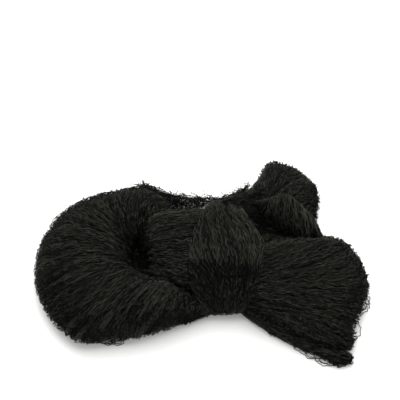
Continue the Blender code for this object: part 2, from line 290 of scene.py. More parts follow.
gullyForm = {  # the bottom of the dark gap between the roll and the fan
    "kind": "tube",
    "sections": (
        (40, 42, 20, 8, 86), (62, 40, 21, 8, 80), (78, 36, 20, 8, 62), (92, 33, 20, 8, 50),
        (118, 30, 20, 8, 42), (144, 30, 16, 8, 34), (160, 30, 10, 6, 26),
    ),
    "furrows": (3, 4, 0.5),
    # painted shade at the bottom of the gap
    "paintedShadeAlong": ((0.0, -0.12),),
}
rootForm = {  # where the fan's strands leave the lashing
    "kind": "tube",
    "sections": (
        (30, -22, 44, 0, 95), (62, -22, 42, 0, 92), (76, -23, 38, 0, 82), (90, -26, 30, 0, 62),
    ),
    "furrows": (5, 8, 0.8),
    # painted shade where the fan's strands leave the lashing
    "paintedShadeAlong": ((0.0, -0.3), (0.6, -0.2), (1.0, -0.1)),
}
throatForm = {  # the strands inside the lashing's right end, between the fan and the end bundle
    "kind": "tube",
    "sections": (
        (30, 16, 30, 10, 91), (54, 16, 28, 10, 87), (66, 14, 24, 10, 80), (76, 12, 18, 10, 66),
        (84, 10, 12, 10, 48),
    ),
    "furrows": (4, 6, 0.8),
    # painted shade inside the lashing's right end
    "paintedShadeAlong": ((0.0, -0.3), (0.6, -0.22), (1.0, -0.2)),
}
coreForm = {  # fills the middle, so that nothing shows through
    "kind": "tube",
    "sections": (
        (-135, -28, 22, -15, 24), (-105, -14, 40, -15, 24), (-60, 2, 58, -15, 36), (0, 2, 62, -15, 42),
        (60, 6, 56, -15, 38), (105, 14, 40, -15, 32), (135, 14, 20, -15, 26),
    ),
    "furrows": (2, 3, 0.0),
    # painted shade over the middle
    "paintedShadeAlong": ((0.0, -0.1),),
}
allForms = {
    "loop": loopForm, "fan": fanForm, "knob": knobForm, "fringe": fringeForm, "band": bandForm,
    "roll": rollForm, "tail": tailForm, "lashing": lashingForm, "core": coreForm, "pit": pitForm,
    "gully": gullyForm, "neck": neckForm, "root": rootForm, "throat": throatForm,
}
sectionSquareness = 2.4  # 2 is an ellipse, and more is squarer


# surfaces of two parameters, both from 0 to 1: across goes from strand to strand, run along a strand


def readTable(table, at, closed=False):
    # a Catmull-Rom curve through the table's rows, read at row numbers; the columns become the last axis
    rows = np.array(table, float)
    count = len(rows)
    if closed:
        first = np.floor(at).astype(int)
        picks = [rows[(first + shift) % count] for shift in (-1, 0, 1, 2)]
    else:
        at = np.clip(at, 0, count - 1)
        first = np.minimum(np.floor(at).astype(int), count - 2)
        picks = [rows[np.clip(first + shift, 0, count - 1)] for shift in (-1, 0, 1, 2)]
    part = (at - first)[..., None]
    before, start, end, after = picks
    return 0.5 * (
        2 * start
        + (end - before) * part
        + (2 * before - 5 * start + 4 * end - after) * part**2
        + (3 * start - before - 3 * end + after) * part**3
    )


def stepsIn(at, table):
    # straight lines between (place, value) pairs
    places, values = zip(*table)
    return np.interp(at, places, values)


def furrows(form, turn):
    # depth * a coarse and a fine wave across the strands, between -1 and 1
    coarse, fine, depth = form["furrows"]
    turn = turn * 2 * math.pi
    return depth * (0.6 * np.sin(coarse * turn + coarse) + 0.4 * np.sin(fine * turn + 2.3 * coarse))


def slicedPoint(form, across, run):
    # inner + share * (outer - inner) in plan, rise * crown in height; furrows lift the top and push the rim
    rows = readTable(form["slices"], across * (len(form["slices"]) - 1))
    innerX, innerY, outerX, outerY, crown = np.moveaxis(rows, -1, 0)
    share, rise = np.moveaxis(readTable(form["profile"], run * (len(form["profile"]) - 1)), -1, 0)
    if "neck" in form:
        neck = stepsIn(across, form["neck"])
        neckReach = stepsIn(across, form["neckReach"])
        rise = rise * (neck + (1 - neck) * np.clip(share / neckReach, 0, 1) ** 0.8)
    lift = furrows(form, across) * np.clip(4 * share * (1.15 - share), 0, 1)
    reach = np.hypot(outerX - innerX, outerY - innerY)
    push = 0.8 * lift * np.clip((share - 0.8) * 10, 0, 1) / reach
    share = share * (1 - form.get("rimRoom", 0.0) / reach) + push
    x = innerX + (outerX - innerX) * share
    y = innerY + (outerY - innerY) * share
    return np.stack([x, y, crown * rise + lift * np.clip(4 * rise, 0, 1)], -1)


def tubePoint(form, across, run):
    # round a squarish section, cos and sin to the power 2 / n, carried along the axis
    last = len(form["sections"]) - 1
    x, y, halfWidth, base, top = np.moveaxis(readTable(form["sections"], run * last), -1, 0)
    step = 0.05
    ahead = readTable(form["sections"], np.clip(run * last + step, 0, last))
    behind = readTable(form["sections"], np.clip(run * last - step, 0, last))
    alongX, alongY = (ahead - behind)[..., 0], (ahead - behind)[..., 1]
    size = np.hypot(alongX, alongY) + 1e-9
    turn = across * 2 * math.pi
    side = np.sign(np.cos(turn)) * np.abs(np.cos(turn)) ** (2 / sectionSquareness)
    level = 0.5 + 0.5 * np.sign(np.sin(turn)) * np.abs(np.sin(turn)) ** (2 / sectionSquareness)
    swell = furrows(form, across) * np.clip((level - 0.4) * 8, 0, 1)
    z = base + (top - base) * level + swell * np.clip((top - base) / 101, 0, 1)
    return np.stack([x - alongY / size * halfWidth * side, y + alongX / size * halfWidth * side, z], -1)


def sleevePoint(form, across, run):
    # run goes round the girth, and across from its left edge to its right edge, where the girth draws in
    rows = readTable(form["girth"], (run % 1.0) * len(form["girth"]), closed=True)
    y, z, leftX, rightX = np.moveaxis(rows, -1, 0)
    pull = stepsIn(across, form["draw"]) - furrows(form, across)
    middleY, middleZ = form["middle"]
    size = np.hypot(y - middleY, z - middleZ)
    x = leftX + (rightX - leftX) * across
    return np.stack([x, y - (y - middleY) / size * pull, z - (z - middleZ) / size * pull], -1)


pointOf = {"sliced": slicedPoint, "tube": tubePoint, "sleeve": sleevePoint}


def drawnPoint(form, across, run):
    across, run = np.broadcast_arrays(np.asarray(across, float), np.asarray(run, float))
    if form["kind"] != "tube":
        across = np.clip(across, 0, 1)
    return pointOf[form["kind"]](form, across, run)


drawnLow = np.array([-224.4, -148.6, 0.0])  # the frame's box as drawn, in mm
drawnHigh = np.array([224.2, 140.7, 102.0])
fitScale = (cadHigh - cadLow) / (drawnHigh - drawnLow)
fitShift = cadLow - drawnLow * fitScale
print("scale from the drawn mm:", np.round(fitScale * 1000, 3).tolist())


def toFrame(points):
    # from drawn millimetres to metres in the frame
    return points * fitScale + fitShift


def unit(vectors):
    # each vector over its own length, kept off nought
    return vectors / (np.linalg.norm(vectors, axis=-1, keepdims=True) + 1e-9)


def surfaceOf(form, across, run):
    # the point, the unit direction across the strands and the unit outward normal, from small differences
    small = 1e-3
    behind, ahead = run - small, run + small
    if form["kind"] != "sleeve":
        behind, ahead = np.clip(behind, 0, 1), np.clip(ahead, 0, 1)
    acrossStep = drawnPoint(form, across + small, run) - drawnPoint(form, across - small, run)
    runStep = drawnPoint(form, across, ahead) - drawnPoint(form, across, behind)
    normal = unit(np.cross(acrossStep, runStep)) * form["outward"]
    return drawnPoint(form, across, run), unit(acrossStep), normal


def measureForm(form):
    # outward: the sign that makes the normals near the top point up; run to distance: mm along an average
    # strand; width: mm from the first strand to the last, a little before half way
    form["outward"] = 1.0
    edge, widthRow = 0.05, 34
    across, run = np.meshgrid(np.linspace(edge, 1 - edge, 61), np.linspace(0, 1, 81), indexing="ij")
    place, _, normal = surfaceOf(form, across, run)
    high = place[..., 2] > 0.8 * place[..., 2].max()
    form["outward"] = float(np.sign(normal[..., 2][high].mean()))
    legs = np.linalg.norm(np.diff(place, axis=1), axis=-1)
    form["run"] = run[0]
    form["distance"] = np.concatenate([[0.0], np.cumsum(legs.mean(axis=0))])
    form["width"] = np.linalg.norm(np.diff(place[:, widthRow], axis=0), axis=-1).sum() / (1 - 2 * edge)


for form in allForms.values():
    measureForm(form)


# what lies deep inside the hank can't be seen, so no twine is made there
cell = 3.0  # mm
margin = 15.0
gridLow = drawnLow - margin
gridShape = tuple(((drawnHigh - drawnLow + 2 * margin) / cell).astype(int)[:2] + 1)


def heightMap():
    # the highest point of any form over each cell of the floor, sampled closer than the cells
    heights = np.full(gridShape, -1.0)
    across, run = np.meshgrid(np.linspace(0, 1, 900), np.linspace(0, 1, 160))
    for name, form in allForms.items():
        if name == "fringe":
            continue
        points = drawnPoint(form, across, run).reshape(-1, 3)
        column = ((points[:, :2] - gridLow[:2]) / cell).astype(int)
        np.maximum.at(heights, (column[:, 0], column[:, 1]), points[:, 2])
    return heights


topHeights = heightMap()
probes = np.stack(np.meshgrid((-1, 0, 1), (-1, 0, 1), (-1, 0, 1)), -1).reshape(-1, 3).astype(float)
probes = probes[np.abs(probes).sum(axis=1) > 0]
probes /= np.linalg.norm(probes, axis=1, keepdims=True)


def isHidden(points, depth):
    # hidden where every probe of this length ends under the hank's top
    found = np.ones(points.shape[:-1], bool)
    for probe in probes:
        place = points + probe * depth
        column = ((place[..., :2] - gridLow[:2]) / cell).astype(int)
        inside = ((column >= 0) & (column < gridShape)).all(axis=-1)
        column = np.clip(column, 0, np.array(gridShape) - 1)
        found &= inside & (place[..., 2] < topHeights[column[..., 0], column[..., 1]])
    return found


def ripple(points, size, seed):
    # the sum of sixteen sine waves in random directions, about this many mm long; mostly from -1 to 1
    rng = np.random.default_rng(seed)
    directions = rng.standard_normal((16, 3))
    directions /= np.linalg.norm(directions, axis=1, keepdims=True)
    waves = directions * (2 * math.pi / size / (0.7 + 0.8 * rng.random(16)))[:, None]
    return np.sin(points @ waves.T + rng.random(16) * 2 * math.pi).sum(axis=-1) / 4.5


def rippleIn(sideways, along, seed):
    # the same ripple over a plane whose two directions are measured in wavelengths
    return ripple(np.stack([sideways, along, 0 * along], -1), 1.0, seed)


def combed(lane, far, pitch, seed):
    # fine lines along the strands: the sum of ten sine waves of nearly the same pitch, slightly slanted
    rng = np.random.default_rng(seed)
    widths = pitch * (0.9 + 0.22 * rng.random(10))
    total = 0 * lane
    for width, slant, phase in zip(widths, rng.standard_normal(10), rng.random(10)):
        total = total + np.sin((lane / width + far * slant / 5 + phase) * 2 * math.pi)
    return total / 2.6


# materials


def linear(hexColour):
    # an sRGB hex value as linear light, with alpha 1
    parts = [int(hexColour[k : k + 2], 16) / 255 for k in (1, 3, 5)]
    return [c / 12.92 if c <= 0.04045 else ((c + 0.055) / 1.055) ** 2.4 for c in parts] + [1.0]


def addNode(tree, kind, links, **settings):
    # links: input name or number -> (node, output) or a plain value
    node = tree.nodes.new("ShaderNode" + kind)
    for key, value in settings.items():
        setattr(node, key, value)
    for key, value in links.items():
        if isinstance(value, tuple) and hasattr(value[0], "outputs"):
            tree.links.new(value[0].outputs[value[1]], node.inputs[key])
        else:
            node.inputs[key].default_value = value
    return node


def newMaterial(name):
    material = bpy.data.materials.new(name)
    material.use_nodes = True
    material.node_tree.nodes.clear()
    return material, material.node_tree


def setRamp(node, stops):
    ramp = node.color_ramp
    while len(ramp.elements) < len(stops):
        ramp.elements.new(0.5)
    for element, (position, hexColour) in zip(ramp.elements, stops):
        element.position = position
        element.color = linear(hexColour)


def addFinish(tree, spec, colour, height):
    # both materials end alike: their colour, their bump and the surface of the same nylon
    strength, distance = spec["bump"]
    bump = addNode(tree, "Bump", {"Strength": strength, "Distance": distance, "Height": height})
    finish = {
        "Base Color": colour,
        "Roughness": spec["roughness"],
        "IOR": spec["ior"],
        "Specular IOR Level": spec["gloss"],
        "Normal": (bump, 0),
    }
    shader = addNode(tree, "BsdfPrincipled", finish)
    addNode(tree, "OutputMaterial", {"Surface": (shader, 0)})


twineLook = {
    "stops": ((0.0, "#080808"), (0.25, "#121211"), (0.5, "#1e1f1a"), (0.75, "#30322a"), (1.0, "#474940")),
    "turns": 44.0,  # twists on a length; the real lay is about 1 mm and too fine to show
    "slant": 180.0,  # radians for one unit of tone, so that the lay winds round the twine
    # painted light on the crowns of the plies and painted shade in the grooves between them, over the bump
    "lay": (0.2, 0.92),  # how much it lightens and darkens the colour, and the middle
    "bump": (0.5, 0.0002),  # strength, and height in metres
    "roughness": 0.5,
    "ior": 1.53,
    "gloss": 0.05,  # fine twine shades its own gleam
}


def twistedNylon(spec):
    # black two-ply nylon twine: a dull satin gleam along each length, broken by the lay of its two plies
    material, tree = newMaterial("twisted_nylon_twine")
    place = addNode(tree, "UVMap", {}, uv_map="OFBake")
    parts = addNode(tree, "SeparateXYZ", {0: (place, "UV")})
    tone = addNode(tree, "ValToRGB", {"Fac": (parts, "X")})
    setRamp(tone, spec["stops"])
    along = addNode(tree, "Math", {0: (parts, "Y"), 1: spec["turns"] * 2 * math.pi}, operation="MULTIPLY")
    slanted = {0: (parts, "X"), 1: spec["slant"], 2: (along, 0)}
    slant = addNode(tree, "Math", slanted, operation="MULTIPLY_ADD")
    lay = addNode(tree, "Math", {0: (slant, 0)}, operation="SINE")
    # the lay lightens and darkens the colour: painted light on the ply crowns, painted shade in the grooves
    swing, middle = spec["lay"]
    shade = addNode(tree, "Math", {0: (lay, 0), 1: swing, 2: middle}, operation="MULTIPLY_ADD")
    colour = addNode(tree, "VectorMath", {0: (tone, "Color"), "Scale": (shade, 0)}, operation="SCALE")
    addFinish(tree, spec, (colour, 0), (lay, 0))
    return material


massLook = {
    # darker than the twine: painted deep shade on the layers that lie under it
    "stops": ((0.3, "#040404"), (0.55, "#0a0a09"), (0.8, "#141512")),
    "streaks": (420.0, 140.0, 1.0),  # how many across and along the strip that each form has in the UV map
    "bump": (0.8, 0.0008),
    "roughness": 0.7,
    "ior": 1.53,
    "gloss": 0.04,
}


def gatheredLayers(spec):
    # the layers under the top ones: the same nylon, with painted deep shade in its colour, streaked along the
    # strands
    material, tree = newMaterial("gathered_nylon_layers")
    place = addNode(tree, "UVMap", {}, uv_map="OFBake")
    stretched = addNode(tree, "VectorMath", {0: (place, "UV"), 1: spec["streaks"]}, operation="MULTIPLY")
    noise = {"Vector": (stretched, 0), "Scale": 1.0, "Detail": 3.0, "Roughness": 0.6}
    streaks = addNode(tree, "TexNoise", noise)
    tone = addNode(tree, "ValToRGB", {"Fac": (streaks, "Fac")})
    setRamp(tone, spec["stops"])
    addFinish(tree, spec, (tone, "Color"), (streaks, "Fac"))
    return material


twineMaterial = twistedNylon(twineLook)
massMaterial = gatheredLayers(massLook)


# meshes


def joined(parts):
    # several (points, triangles, corners) as one
    starts = np.cumsum([0] + [len(points) for points, _, _ in parts[:-1]])
    return (
        np.concatenate([points for points, _, _ in parts]),
        np.concatenate([triangles + start for (_, triangles, _), start in zip(parts, starts)]),
        np.concatenate([corners for _, _, corners in parts]),
    )


def meshObject(name, parts, material):
    # parts: (points in drawn mm, triangles as vertex numbers, a UV pair for each corner of each triangle)
    points, triangles, corners = joined(parts)
    mesh = bpy.data.meshes.new(name)
    mesh.from_pydata(toFrame(points), [], triangles)
    layer = mesh.uv_layers.new(name="OFBake")
    layer.uv.foreach_set("vector", np.ascontiguousarray(corners, np.float32).ravel())
    mesh.polygons.foreach_set("use_smooth", np.ones(len(triangles), bool))
    mesh.materials.append(material)
    mesh.update()
    piece = newObject(name, mesh)
    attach(piece, "root")
    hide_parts("net_hank")
    print(name, len(triangles), "triangles")
    return piece


# the mass: each form as a closed shell under the twine, ridged along its strands
mass = {
    "seed": 3,
    "inset": 3.4,  # mm under the twine's surface, and less of it below insetHeight
    "insetHeight": 12.0,
    "ridgeHeight": 0.8,
    "grooveDepth": 0.4,  # as a share of the ridge's height
    "sway": 1.4,
    "swayLength": 30.0,
    "swayShift": 23.0,  # radians from the first strand to the last
    "floorGap": 0.2,
    "parts": {  # columns across the strands, rows along them
        "loop": (420, 30), "fan": (200, 26), "knob": (110, 24), "band": (110, 22), "roll": (60, 22),
        "tail": (40, 26), "lashing": (60, 56), "core": (40, 20), "pit": (30, 30), "gully": (30, 20),
        "neck": (40, 20), "root": (60, 16), "throat": (30, 14),
    },
}


def shellOf(form, columns, rows, spec, rng):
    # the surface set in along its normal; every second column is a ridge, and the ridges sway as they run
    across = np.linspace(0, 1, columns, endpoint=form["kind"] != "tube")
    run = np.linspace(0, 1, rows, endpoint=form["kind"] != "sleeve")
    place, sideways, normal = surfaceOf(form, *np.meshgrid(across, run, indexing="ij"))
    ridge = np.where(np.arange(columns) % 2, 1.0, -spec["grooveDepth"])[:, None] * spec["ridgeHeight"]
    ridge = ridge * (0.6 + 0.8 * rng.random((columns, 1)))
    swings = run[None, :] * form["distance"][-1] / spec["swayLength"]
    phase = across[:, None] * spec["swayShift"] + swings * 2 * math.pi
    sway = spec["sway"] * (np.sin(phase) + 0.5 * np.sin(1.7 * phase + 1.0))
    inset = spec["inset"] * np.clip(place[..., 2] / spec["insetHeight"], 0.5, 1)
    points = place - normal * (inset - ridge)[..., None] + sideways * sway[..., None]
    points[..., 2] = np.maximum(points[..., 2], spec["floorGap"])
    return points


def closedGrid(points, wrapAcross, wrapRun):
    # triangles between the points of a grid; each open edge is closed with a fan to a middle point
    columns, rows = points.shape[:2]
    number = np.arange(columns * rows).reshape(columns, rows)
    full = np.concatenate([number, number[:1]]) if wrapAcross else number
    full = np.concatenate([full, full[:, :1]], axis=1) if wrapRun else full
    a, b, c, d = full[:-1, :-1], full[1:, :-1], full[1:, 1:], full[:-1, 1:]
    triangles = np.concatenate([np.stack(corners, -1).reshape(-1, 3) for corners in ((a, b, c), (a, c, d))])
    if wrapAcross:
        rings = [full[:, 0], full[::-1, -1]]
    elif wrapRun:
        rings = [full[0, ::-1], full[-1, :]]
    else:
        edges = (full[:, 0], full[-1, 1:], full[-2::-1, -1], full[0, -2:0:-1], full[:1, 0])
        rings = [np.concatenate(edges)]
    flat = points.reshape(-1, 3)
    for ring in rings:
        middle = len(flat)
        flat = np.concatenate([flat, flat[ring[:-1]].mean(axis=0)[None]])
        caps = np.stack([ring[1:], ring[:-1], np.full(len(ring) - 1, middle)], -1)
        triangles = np.concatenate([triangles, caps])
    return flat, triangles


def facingOut(points, triangles):
    # the signed volume tells whether the faces point outwards; if they don't, they are turned round
    a, b, c = (points[triangles[:, k]] for k in range(3))
    volume = np.einsum("ij,ij->i", a, np.cross(b, c)).sum()
    return triangles if volume > 0 else triangles[:, ::-1]


def buildMass(spec):
    # each shell takes its own strip of the UV square, with a gap at the strip's edges
    rng = np.random.default_rng(spec["seed"])
    gap = 0.04
    parts = []
    for strip, (name, (columns, rows)) in enumerate(spec["parts"].items()):
        form = allForms[name]
        points = shellOf(form, columns, rows, spec, rng)
        flat, triangles = closedGrid(points, form["kind"] == "tube", form["kind"] == "sleeve")
        extra = len(flat) - columns * rows
        column = np.concatenate([np.repeat(np.arange(columns) / columns, rows), np.full(extra, 0.5)])
        row = np.concatenate([np.tile(np.arange(rows) / rows, columns), np.full(extra, 0.5)])
        place = np.stack([column, (strip + gap + (1 - 2 * gap) * row) / len(spec["parts"])], -1)
        triangles = facingOut(flat, triangles)
        parts.append((flat, triangles, place[triangles]))
    return meshObject("gathered_mass", parts, massMaterial)


# lengths of twine


def evenDraws(rng, shape):
    # a function that draws numbers evenly between two ends
    def each(low, high):
        return low + (high - low) * rng.random(shape)

    return each


def evenSpots(form, spec, rng):
    # (across, run) spots spread evenly over the form's area, one for each pitch * length of it
    columns, rows = 240, 60
    acrossEnds, runEnds = spec["region"]
    across, run = np.linspace(*acrossEnds, columns + 1), np.linspace(*runEnds, rows + 1)
    grid = drawnPoint(form, *np.meshgrid(across, run, indexing="ij"))
    oneWay = grid[1:, :-1] - grid[:-1, :-1]
    otherWay = grid[:-1, 1:] - grid[:-1, :-1]
    total = np.cumsum(np.linalg.norm(np.cross(oneWay, otherWay), axis=-1).ravel())
    count = int(total[-1] / (spec["pitch"] * spec["length"]))
    wanted = (np.arange(count) + rng.random(count)) / count * total[-1]
    column, row = np.unravel_index(np.searchsorted(total, wanted), (columns, rows))
    spotAcross = across[column] + rng.random(count) * (across[1] - across[0])
    return spotAcross, run[row] + rng.random(count) * (run[1] - run[0])


never = ((0.0, 0.0),)  # tables with one value all along
always = ((0.0, 1.0),)


def pathAcross(form, across, run):
    # strands veer: across + veer * run + twist(run), and gather: + gather(run) * (place - across)
    path = across + stepsIn(across, form.get("veer", never)) * run
    path = path + stepsIn(run, form.get("twist", never))
    return path + stepsIn(run, form.get("gather", never)) * (form.get("gatherPlace", 0.5) - path)


def startAcross(form, spot, run):
    # the strand that passes through this spot, found by closing in on it in small steps
    steps, stepShare = 24, 0.4
    across = spot
    for _ in range(steps):
        across = across + stepShare * (spot - pathAcross(form, across, run))
    return across


def strandSpans(form, spec, rng):
    # where each length starts and ends, in mm along its strand, without the ends that nothing would show
    spotAcross, spotRun = evenSpots(form, spec, rng)
    across = startAcross(form, spotAcross, spotRun)
    middle = np.interp(spotRun, form["run"], form["distance"])
    half = spec["length"] / 2 * (0.6 + 0.8 * rng.random(len(across)))
    low, high = np.interp(spec["region"][1], form["run"], form["distance"])
    start, stop = np.clip(middle - half, low, high), np.clip(middle + half, low, high)
    looks, shortest = 14, 8.0  # places looked at along each length, and mm of it that are worth keeping
    part = np.linspace(0, 1, looks)
    run = np.interp(start[:, None] + (stop - start)[:, None] * part, form["distance"], form["run"])
    path = pathAcross(form, across[:, None], run)
    shown = ~isHidden(drawnPoint(form, path, run), spec["hideDepth"])
    if form["kind"] != "tube":
        shown &= (path >= 0) & (path <= 1)
    first = np.maximum(shown.argmax(axis=1) - 1, 0)
    last = np.minimum(looks - shown[:, ::-1].argmax(axis=1), looks - 1)
    newStart = start + (stop - start) * part[first]
    newStop = start + (stop - start) * part[last]
    kept = shown.any(axis=1) & (newStop - newStart > shortest)
    return across[kept], newStart[kept], newStop[kept]


def strandLines(form, spec, rng):
    # each length runs along its bundle, with side = the net's zigzag + a slack wave + a slow drift, and
    # lift = its layer + the bundle's lumps + a bob, dipping under its neighbours at both ends
    across, start, stop = strandSpans(form, spec, rng)
    count, steps = len(across), spec["steps"]
    gone = (stop - start)[:, None] * np.linspace(0, 1, steps)
    run = np.interp(start[:, None] + gone, form["distance"], form["run"])
    place, sideways, normal = surfaceOf(form, pathAcross(form, across[:, None], run), run)
    each = evenDraws(rng, (count, 1))

    def wave(amount, lengths):
        return amount * np.sin(gone / each(*lengths) * 2 * math.pi + each(0, 2 * math.pi))

    corner = gone / meshBar / 2 + each(0, 1)
    zigzag = each(*spec["zigzag"]) * (2 * np.abs(2 * (corner % 1.0) - 1) - 1)
    side = zigzag + wave(each(*spec["slack"]), spec["slackLengths"])
    side = side + wave(each(0, spec["drift"]), spec["driftLengths"])
    side = side + each(-1, 1) * spec["lean"] * (gone / gone[:, -1:] - 0.5)
    lane = across[:, None] * form["width"] + side
    far = start[:, None] + gone
    crimpWide, crimpLong = spec["crimpSize"]
    side = side + spec["crimp"] * rippleIn(lane / crimpWide, far / crimpLong, 9)
    bundle = combed(lane, far, spec["bundleWidth"], 10)
    layer = each(*spec["layers"])
    coarse, fine = spec["lumpSizes"]
    lumps = ripple(place, coarse, 5) * spec["lumps"] + ripple(place, fine, 6) * spec["lumps"] * 0.4
    tuftWide, tuftLong = spec["tuftSize"]
    grown = stepsIn(run, form.get("tuftsAlong", always))
    tufts = form.get("tufts", spec["tufts"]) * rippleIn(lane / tuftWide, far / tuftLong, 8) * grown
    fromStart, toStop = gone / spec["dipLength"], (gone[:, -1:] - gone) / spec["dipLength"]
    ends = np.clip(1 - fromStart, 0, 1) ** 2 + np.clip(1 - toStop, 0, 1) ** 2
    lift = layer + lumps + tufts + spec["bundleHeight"] * bundle
    lift = lift + wave(spec["bob"], spec["bobLengths"]) - spec["dip"] * ends
    lines = place + sideways * side[..., None] + normal * lift[..., None]
    lines[..., 2] = np.maximum(lines[..., 2], spec["radius"])
    knots = np.abs(zigzag).argmax(axis=1)
    # painted light and shade from the form's tables, read at a slightly uneven run
    ragged = run + spec["ragged"] * rng.standard_normal(count)[:, None]
    shade = stepsIn(ragged, form.get("paintedShadeAlong", never))
    shade = shade + stepsIn(across[:, None] % 1.0, form.get("paintedShadeAcross", never))
    change = spec["toneSpread"] * rng.standard_normal(count)[:, None]
    change = change + wave(spec["streaks"], spec["streakLengths"])
    # painted light on tufts and bundles that stand up, painted shade on those that sink
    change = change + spec["tuftPaintedLight"] * tufts + spec["bundlePaintedLight"] * bundle
    contrast = stepsIn(across[:, None] % 1.0, form.get("contrast", always))
    change = change * contrast * (1 + 2 * np.clip(-shade, 0, 0.2))  # and more of it in the shade
    # the ends take painted shade where each length dives under its neighbours
    tone = spec["tone"] + shade + change - spec["endShade"] * ends
    return lines, normal, np.clip(tone, *toneEnds), knots


toneEnds = (0.01, 0.96)  # the darkest and the lightest, with room for a triangle in the UV map
toneStep = 0.01  # from one side of a tube to the next
smallPatch = np.array([[0.0, 0.0], [0.012, 0.015], [0.024, 0.0]])


def patchUv(tone, share):
    # a small triangle of the UV map for each tone
    return np.stack([tone, np.full(len(tone), share)], -1)[:, None] + smallPatch


def facesOf(here, beside):
    # the two triangles between each point, the one beside it and the next two, as numbers or UV pairs
    a, b, c, d = here[:, :-1], beside[:, :-1], beside[:, 1:], here[:, 1:]
    return np.stack([np.stack(corners, 3) for corners in ((a, c, b), (a, d, c))], 3)


def tubesOf(lines, normals, radius, tone):
    # three corners round each point of each line: line + radius * (cos * up + sin * side), ends closed;
    # u is the tone and v the share of the length, kept off the ends
    count, steps = lines.shape[:2]
    along = unit(np.gradient(lines, axis=1))
    side = unit(np.cross(along, normals))
    up = np.cross(side, along)
    turn = np.arange(3) * 2 * math.pi / 3
    ring = np.cos(turn)[:, None] * up[:, :, None] + np.sin(turn)[:, None] * side[:, :, None]
    points = lines[:, :, None] + radius * ring
    number = np.arange(count * steps * 3).reshape(count, steps, 3)
    sides = facesOf(number, np.roll(number, -1, axis=2)).reshape(-1, 3)
    triangles = np.concatenate([sides, number[:, 0, [0, 1, 2]], number[:, -1, [0, 2, 1]]])
    u = tone[:, :, None] + np.arange(3) * toneStep
    v = np.broadcast_to((0.02 + 0.96 * np.linspace(0, 1, steps))[None, :, None], u.shape)
    spots = np.stack([u, v], -1)
    sideUv = facesOf(spots, spots + (toneStep, 0.0)).reshape(-1, 3, 2)
    uv = np.concatenate([sideUv, patchUv(tone[:, 0], 0.0), patchUv(tone[:, -1], 0.985)])
    return points.reshape(-1, 3), triangles, uv


def knotsOf(points, size, tone, rng):
    # an eight-sided knot round each point: point + size * a corner of a turned octahedron
    count = len(points)
    turned, _ = np.linalg.qr(rng.standard_normal((count, 3, 3)))
    turned = turned * np.sign(np.linalg.det(turned))[:, None, None]
    sizes = size * (0.8 + 0.4 * rng.random(count))
    corners = np.concatenate([turned, -turned], axis=1) * sizes[:, None, None]
    upper = [[0, 1, 2], [1, 3, 2], [3, 4, 2], [4, 0, 2]]
    lower = [[1, 0, 5], [3, 1, 5], [4, 3, 5], [0, 4, 5]]
    triangles = (np.arange(count) * 6)[:, None, None] + np.array(upper + lower)
    uv = np.repeat(patchUv(tone, 0.5), 8, axis=0)
    return (points[:, None] + corners).reshape(-1, 3), triangles.reshape(-1, 3), uv


def buildTwine(name, layers, seed):
    # layers: (form name, settings) pairs, joined into one piece
    rng = np.random.default_rng(seed)
    parts = []
    for formName, spec in layers:
        lines, normals, tone, knots = strandLines(allForms[formName], spec, rng)
        parts.append(tubesOf(lines, normals, spec["radius"], tone))
        if spec["knotSize"]:
            at = (np.arange(len(lines)), knots)
            light = tone[at] + spec["knotToneSpread"] * rng.standard_normal(len(lines))
            light = np.clip(light, *spec["knotTones"])
            places = lines[at] + spec["knotLift"] * normals[at]
            parts.append(knotsOf(places, spec["knotSize"], light, rng))
    return meshObject(name, parts, twineMaterial)


meshBar = 25.0  # mm from knot to knot
underTwine = {
    "radius": 0.5,  # mm; the real twine is 0.3 mm thick, too fine to show, so it is drawn coarser
    "pitch": 1.1,  # mm from strand to strand
    "length": 70.0,
    "region": ((0.0, 1.0), (0.0, 1.0)),  # from where to where, across and run
    "steps": 15,
    "zigzag": (0.3, 2.4),
    "slack": (0.1, 0.5),
    "slackLengths": (11, 24),  # mm, the shortest and the longest wave
    "drift": 1.5,
    "driftLengths": (60, 140),
    "bob": 0.3,
    "bobLengths": (14, 30),
    "lean": 3.0,
    "crimp": 0.8,
    "crimpSize": (5, 11),  # mm across the strands and along them
    "bundleWidth": 2.45,  # mm between the small bundles that neighbouring strands cling in
    "bundleHeight": 0.45,
    # painted light on the ridges of the small bundles, painted shade in the grooves between them
    "bundlePaintedLight": 0.1,
    "tufts": 0.2,  # where the form gives none
    "tuftSize": (9, 60),
    # painted light on tufts that stand up, painted shade on those that sink
    "tuftPaintedLight": 0.12,  # for each mm that a tuft stands up
    "lumps": 0.06,
    "lumpSizes": (30, 11),
    "dip": 1.5,
    "dipLength": 6,
    "layers": (-2.6, -0.9),
    "hideDepth": 6.0,
    # lower than the top layer's: painted shade on the strands that lie under the others
    "tone": 0.42,
    "toneSpread": 0.14,
    # painted shade where each length dives under its neighbours
    "endShade": 0.2,  # how much darker the ends are
    "ragged": 0.009,  # how unevenly the tones along the strands start, as a share of the run
    "streaks": 0.12,
    "streakLengths": (7, 18),
    "knotSize": 0.0,
}
topTwine = dict(
    underTwine,
    radius=0.34,
    pitch=1.1,
    length=34.0,
    steps=13,
    slack=(0.1, 0.6),
    lean=4.0,
    dip=2.0,
    layers=(-1.4, 0.7),
    # painted light: the top strands lighter than those under them
    tone=0.62,
    toneSpread=0.08,
    streaks=0.13,
    # painted light on the bundle ridges, stronger on the top layer
    bundlePaintedLight=0.3,
    knotSize=0.75,
    knotLift=0.2,
    knotToneSpread=0.16,
    knotTones=(0.01, 0.95),
)
band = {"region": ((-0.2, 0.62), (0.0, 1.0))}
wound = {"region": ((0.0, 1.0), (0.11, 0.92))}

